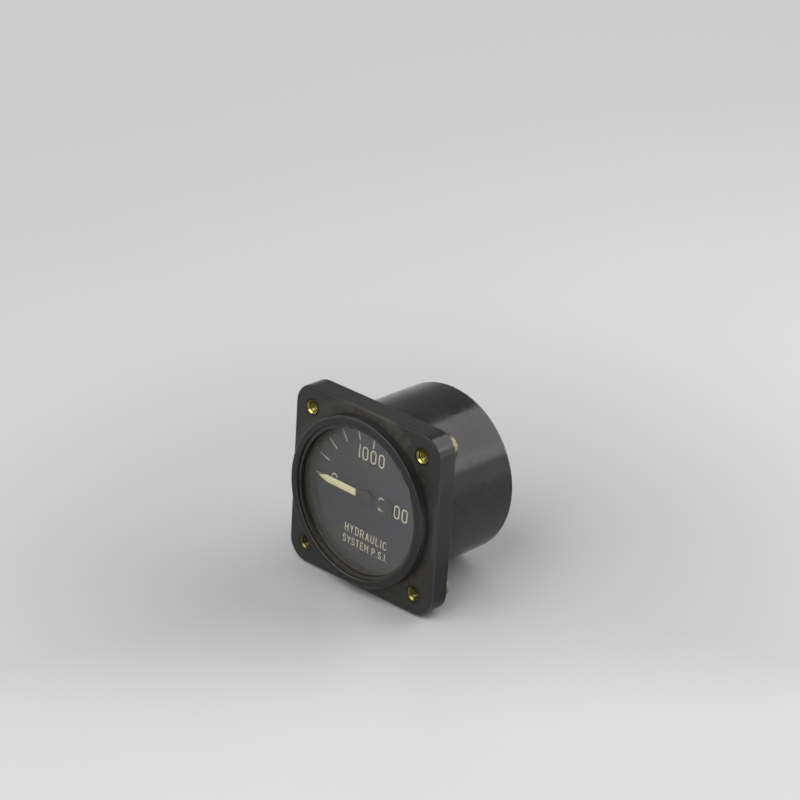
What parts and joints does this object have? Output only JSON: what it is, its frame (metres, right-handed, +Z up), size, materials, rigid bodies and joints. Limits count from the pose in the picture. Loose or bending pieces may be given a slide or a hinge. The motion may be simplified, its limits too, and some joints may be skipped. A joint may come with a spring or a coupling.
{
  "type": "panel pressure gauge",
  "caption": "Panel pressure gauge with a square flange, round barrel, glass window over a dial with a luminous pointer, geared tube movement and rear port.",
  "frame": {"origin": "centre of the four mounting holes on the flange's front face", "axes": "+X to the right as the dial is read, +Y from the dial back through the case to the rear port, +Z up the dial"},
  "size_m": [0.0612, 0.0521, 0.0612],
  "materials": {
    "moulding": "black moulded phenolic, semi-gloss, dusty in the corners",
    "insert_brass": "turned brass, slightly tarnished",
    "ring_black": "black finished steel, worn to bright specks",
    "glass": "clear flat glass",
    "gasket": "matt black",
    "spacer_black": "matt black paint, browned",
    "dial_grey": "matt dark grey paint",
    "pointer_black": "matt black paint",
    "luminous_paint": "pale yellow luminous paint, slightly lumpy",
    "steel": "bright turned steel",
    "spring_steel": "polished strip",
    "plate_brass": "stamped brass",
    "tube_bronze": "drawn bronze tube",
    "socket_brass": "machined brass"
  },
  "bodies": {
    "case": {"case": "moulding", "mounting_inserts": "insert_brass", "snap_ring": "ring_black", "cover_glass": "glass", "glass_gasket": "gasket", "dial_spacer": "spacer_black", "dial_plate": "dial_grey", "movement_front_plate": "plate_brass", "movement_rear_plate": "plate_brass", "movement_pillars": "plate_brass", "pillar_screws": "steel", "movement_screws": "steel", "sector_stops": "steel", "hairspring": "spring_steel", "hairspring_stud": "insert_brass", "bourdon_tube": "tube_bronze", "socket": "socket_brass", "restrictor_screw": "steel", "socket_gasket": "gasket", "socket_screws": "socket_brass"},
    "pointer": {"pointer": "pointer_black", "pointer_paint": "luminous_paint", "pointer_hub": "pointer_black", "pinion_spindle": "steel", "hairspring_collet": "insert_brass"},
    "sector": {"sector_gear": "plate_brass", "sector_spindle": "steel", "tail_screw": "steel"},
    "tube_tip": {"tube_end": "insert_brass", "tip_screw": "steel"},
    "link": {"link": "plate_brass"}
  },
  "joints": [
    {"name": "sector_turn", "type": "hinge", "parent": "case", "child": "sector", "pos_m": [0, 0.0111, -0.0144], "axis": [0, -1, 0], "range_deg": [0, 27], "stiffness_Nm_per_rad": 0.002},
    {"name": "pointer_turn", "type": "hinge", "parent": "case", "child": "pointer", "pos_m": [0, 0.003, 0], "axis": [0, 1, 0], "range_deg": [0, 189], "deforming": ["hairspring"]},
    {"name": "tube_tip_flex", "type": "hinge", "parent": "case", "child": "tube_tip", "pos_m": [-0.00036, 0.021, 0.00406], "axis": [0, -1, 0], "range_deg": [0, 6.24], "deforming": ["bourdon_tube"]},
    {"name": "link_turn", "type": "hinge", "parent": "tube_tip", "child": "link", "pos_m": [0.0085, 0.0125, -0.0199], "axis": [0, -1, 0], "range_deg": [0, 0.7]}
  ],
  "couplings": [
    {"joint": "pointer_turn", "follows": "sector_turn", "ratio": 7},
    {"joint": "tube_tip_flex", "follows": "sector_turn", "ratio": 0.23107},
    {"joint": "link_turn", "follows": "sector_turn", "ratio": 0.02561}
  ]
}
